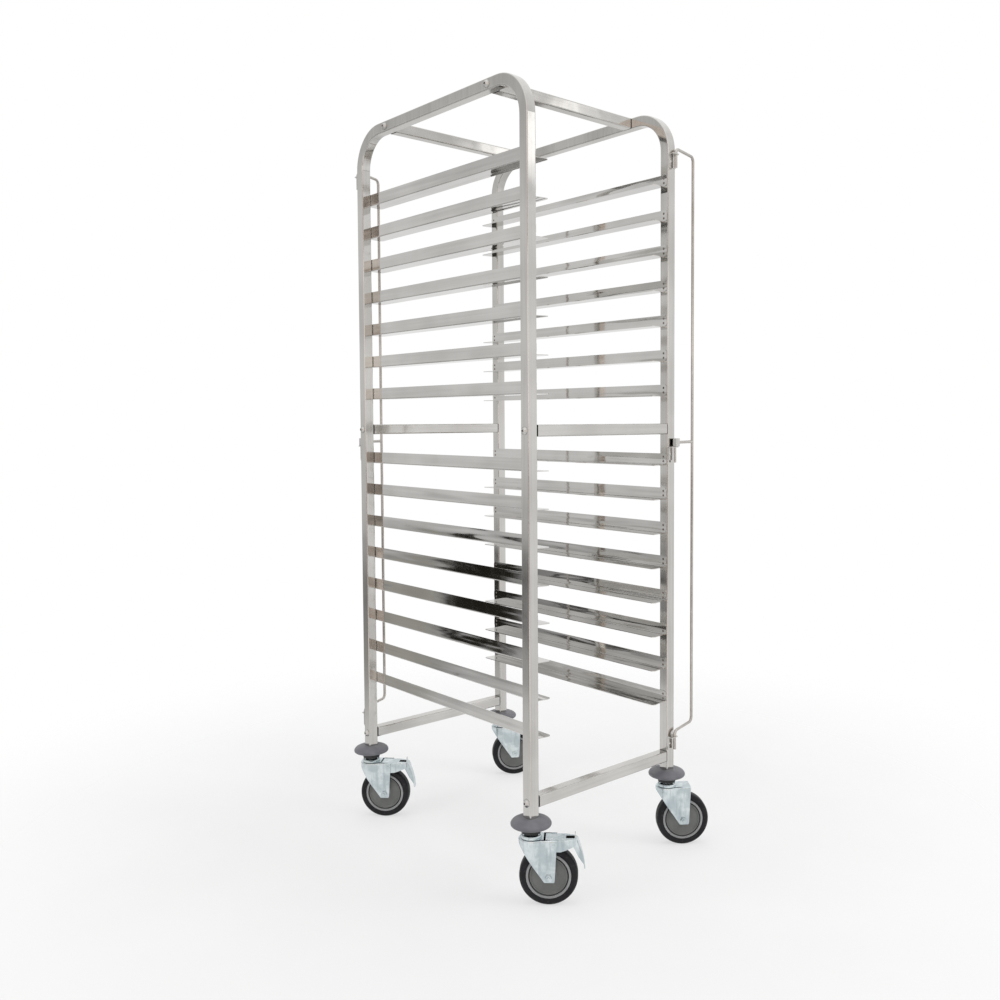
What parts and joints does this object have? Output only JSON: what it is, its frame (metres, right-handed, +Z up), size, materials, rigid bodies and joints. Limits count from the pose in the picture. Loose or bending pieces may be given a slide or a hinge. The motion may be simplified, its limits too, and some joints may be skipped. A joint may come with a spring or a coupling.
{
  "type": "tray rack trolley",
  "caption": "Tall open tray rack trolley of square steel tube with paired angle runners, swinging wire gates, round bumpers and swivel castors.",
  "frame": {"origin": "on the floor under the middle of the square tube frame", "axes": "+Z up, +Y from the front to the rear along the runners, +X to the right seen from the front"},
  "size_m": [0.5758, 0.7807, 1.745],
  "materials": {
    "stainless": "satin polished stainless steel",
    "zinc_steel": "bright zinc plated",
    "bumper_grey": "matt grey moulding",
    "tyre": "matt rubber",
    "wheel_grey": "semi-matt moulding",
    "black_plastic": "matt"
  },
  "bodies": {
    "frame": {"frame_left": "stainless", "frame_right": "stainless", "cross_tube_top_front": "stainless", "cross_tube_top_rear": "stainless", "cross_tube_mid_front": "stainless", "cross_tube_mid_rear": "stainless", "cross_tube_low_front": "stainless", "cross_tube_low_rear": "stainless", "cross_tube_inserts": "black_plastic", "cross_tube_bolts": "stainless", "runner_pair_01": "stainless", "runner_pair_02": "stainless", "runner_pair_03": "stainless", "runner_pair_04": "stainless", "runner_pair_05": "stainless", "runner_pair_06": "stainless", "runner_pair_07": "stainless", "runner_pair_08": "stainless", "runner_pair_09": "stainless", "runner_pair_10": "stainless", "runner_pair_11": "stainless", "runner_pair_12": "stainless", "runner_pair_13": "stainless", "runner_pair_14": "stainless", "runner_pair_15": "stainless", "gate_brackets": "stainless", "gate_bracket_screws": "stainless", "post_plugs": "black_plastic", "bumper_front_left": "bumper_grey", "stem_front_left": "zinc_steel", "bumper_rear_left": "bumper_grey", "stem_rear_left": "zinc_steel", "bumper_front_right": "bumper_grey", "stem_front_right": "zinc_steel", "bumper_rear_right": "bumper_grey", "stem_rear_right": "zinc_steel"},
    "gate_front": {"gate_front": "stainless", "gate_block_front": "stainless"},
    "gate_rear": {"gate_rear": "stainless", "gate_block_rear": "stainless"},
    "swivel_front_left": {"fork_front_left": "zinc_steel", "axle_front_left": "zinc_steel", "brake_pin_front_left": "zinc_steel"},
    "wheel_front_left": {"tyre_front_left": "tyre", "wheel_core_front_left": "wheel_grey"},
    "pedal_front_left": {"brake_pedal_front_left": "zinc_steel"},
    "swivel_rear_left": {"fork_rear_left": "zinc_steel", "axle_rear_left": "zinc_steel", "brake_pin_rear_left": "zinc_steel"},
    "wheel_rear_left": {"tyre_rear_left": "tyre", "wheel_core_rear_left": "wheel_grey"},
    "pedal_rear_left": {"brake_pedal_rear_left": "zinc_steel"},
    "swivel_front_right": {"fork_front_right": "zinc_steel", "axle_front_right": "zinc_steel"},
    "wheel_front_right": {"tyre_front_right": "tyre", "wheel_core_front_right": "wheel_grey"},
    "swivel_rear_right": {"fork_rear_right": "zinc_steel", "axle_rear_right": "zinc_steel"},
    "wheel_rear_right": {"tyre_rear_right": "tyre", "wheel_core_rear_right": "wheel_grey"}
  },
  "joints": [
    {"name": "swivel_front_left", "type": "hinge", "parent": "frame", "child": "swivel_front_left", "pos_m": [-0.2165, -0.3155, 0.143], "axis": [0, 0, 1], "continuous": true},
    {"name": "roll_front_left", "type": "hinge", "parent": "swivel_front_left", "child": "wheel_front_left", "pos_m": [-0.18988, -0.3412, 0.0625], "axis": [0.6947, 0.7193, 0], "continuous": true},
    {"name": "brake_front_left", "type": "hinge", "parent": "swivel_front_left", "child": "pedal_front_left", "pos_m": [-0.18197, -0.34884, 0.1305], "axis": [0.6947, 0.7193, 0], "range_deg": [0, 10]},
    {"name": "swivel_rear_left", "type": "hinge", "parent": "frame", "child": "swivel_rear_left", "pos_m": [-0.2165, 0.3155, 0.143], "axis": [0, 0, 1], "continuous": true},
    {"name": "roll_rear_left", "type": "hinge", "parent": "swivel_rear_left", "child": "wheel_rear_left", "pos_m": [-0.1908, 0.28888, 0.0625], "axis": [0.7193, 0.6947, 0], "continuous": true},
    {"name": "brake_rear_left", "type": "hinge", "parent": "swivel_rear_left", "child": "pedal_rear_left", "pos_m": [-0.18316, 0.28097, 0.1305], "axis": [0.7193, 0.6947, 0], "range_deg": [0, 10]},
    {"name": "swivel_front_right", "type": "hinge", "parent": "frame", "child": "swivel_front_right", "pos_m": [0.2165, -0.3155, 0.143], "axis": [0, 0, 1], "continuous": true},
    {"name": "roll_front_right", "type": "hinge", "parent": "swivel_front_right", "child": "wheel_front_right", "pos_m": [0.24566, -0.33828, 0.0625], "axis": [0.6157, 0.788, 0], "continuous": true},
    {"name": "swivel_rear_right", "type": "hinge", "parent": "frame", "child": "swivel_rear_right", "pos_m": [0.2165, 0.3155, 0.143], "axis": [0, 0, 1], "continuous": true},
    {"name": "roll_rear_right", "type": "hinge", "parent": "swivel_rear_right", "child": "wheel_rear_right", "pos_m": [0.24717, 0.29481, 0.0625], "axis": [0.5592, 0.829, 0], "continuous": true},
    {"name": "gate_front_swing", "type": "hinge", "parent": "frame", "child": "gate_front", "pos_m": [0.221, -0.3364, 0.968], "axis": [0, 0, 1], "range_deg": [-195, 9]},
    {"name": "gate_rear_swing", "type": "hinge", "parent": "frame", "child": "gate_rear", "pos_m": [-0.221, 0.3364, 0.968], "axis": [0, 0, 1], "range_deg": [-25, 179]}
  ]
}
